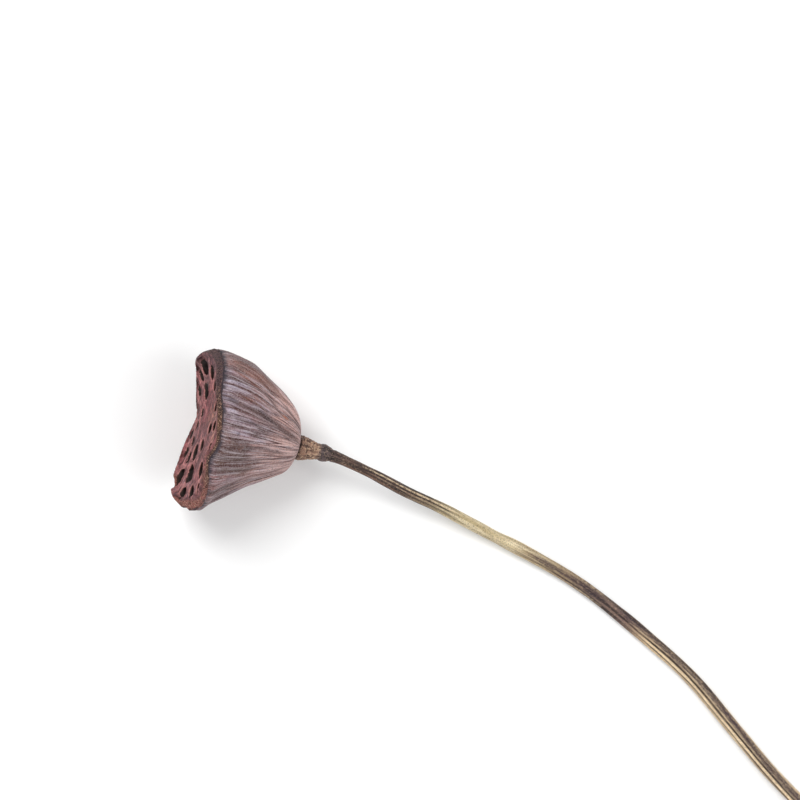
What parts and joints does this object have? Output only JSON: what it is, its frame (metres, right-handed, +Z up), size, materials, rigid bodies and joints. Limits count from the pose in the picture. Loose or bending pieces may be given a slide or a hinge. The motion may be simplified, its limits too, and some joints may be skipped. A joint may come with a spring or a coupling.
{
  "type": "dried lotus seed pod",
  "caption": "Dried lotus seed pod lying on its side: a ridged cone with a waved rim, a flat face of open seed cells, loose seeds, and its curved cut stem with a swollen collar.",
  "frame": {"origin": "centre of the small flat spot under the pod's rim, on the surface that the pod lies on", "axes": "+X is level, out of the seed face and along the length, with the stem trailing to -X; +Z up; +Y is the side that the stem bends to"},
  "size_m": [0.413, 0.1814, 0.0853],
  "materials": {
    "dried_pod": "dry, matte, finely wrinkled skin",
    "dried_stem": "dry, matte, grooved skin",
    "dried_seed": "hard, dull sheen"
  },
  "bodies": {
    "root": {"pod": "dried_pod", "stem": "dried_stem", "seed_01": "dried_seed", "seed_02": "dried_seed", "seed_03": "dried_seed", "seed_04": "dried_seed", "seed_05": "dried_seed", "seed_06": "dried_seed", "seed_07": "dried_seed", "seed_08": "dried_seed"}
  },
  "joints": []
}
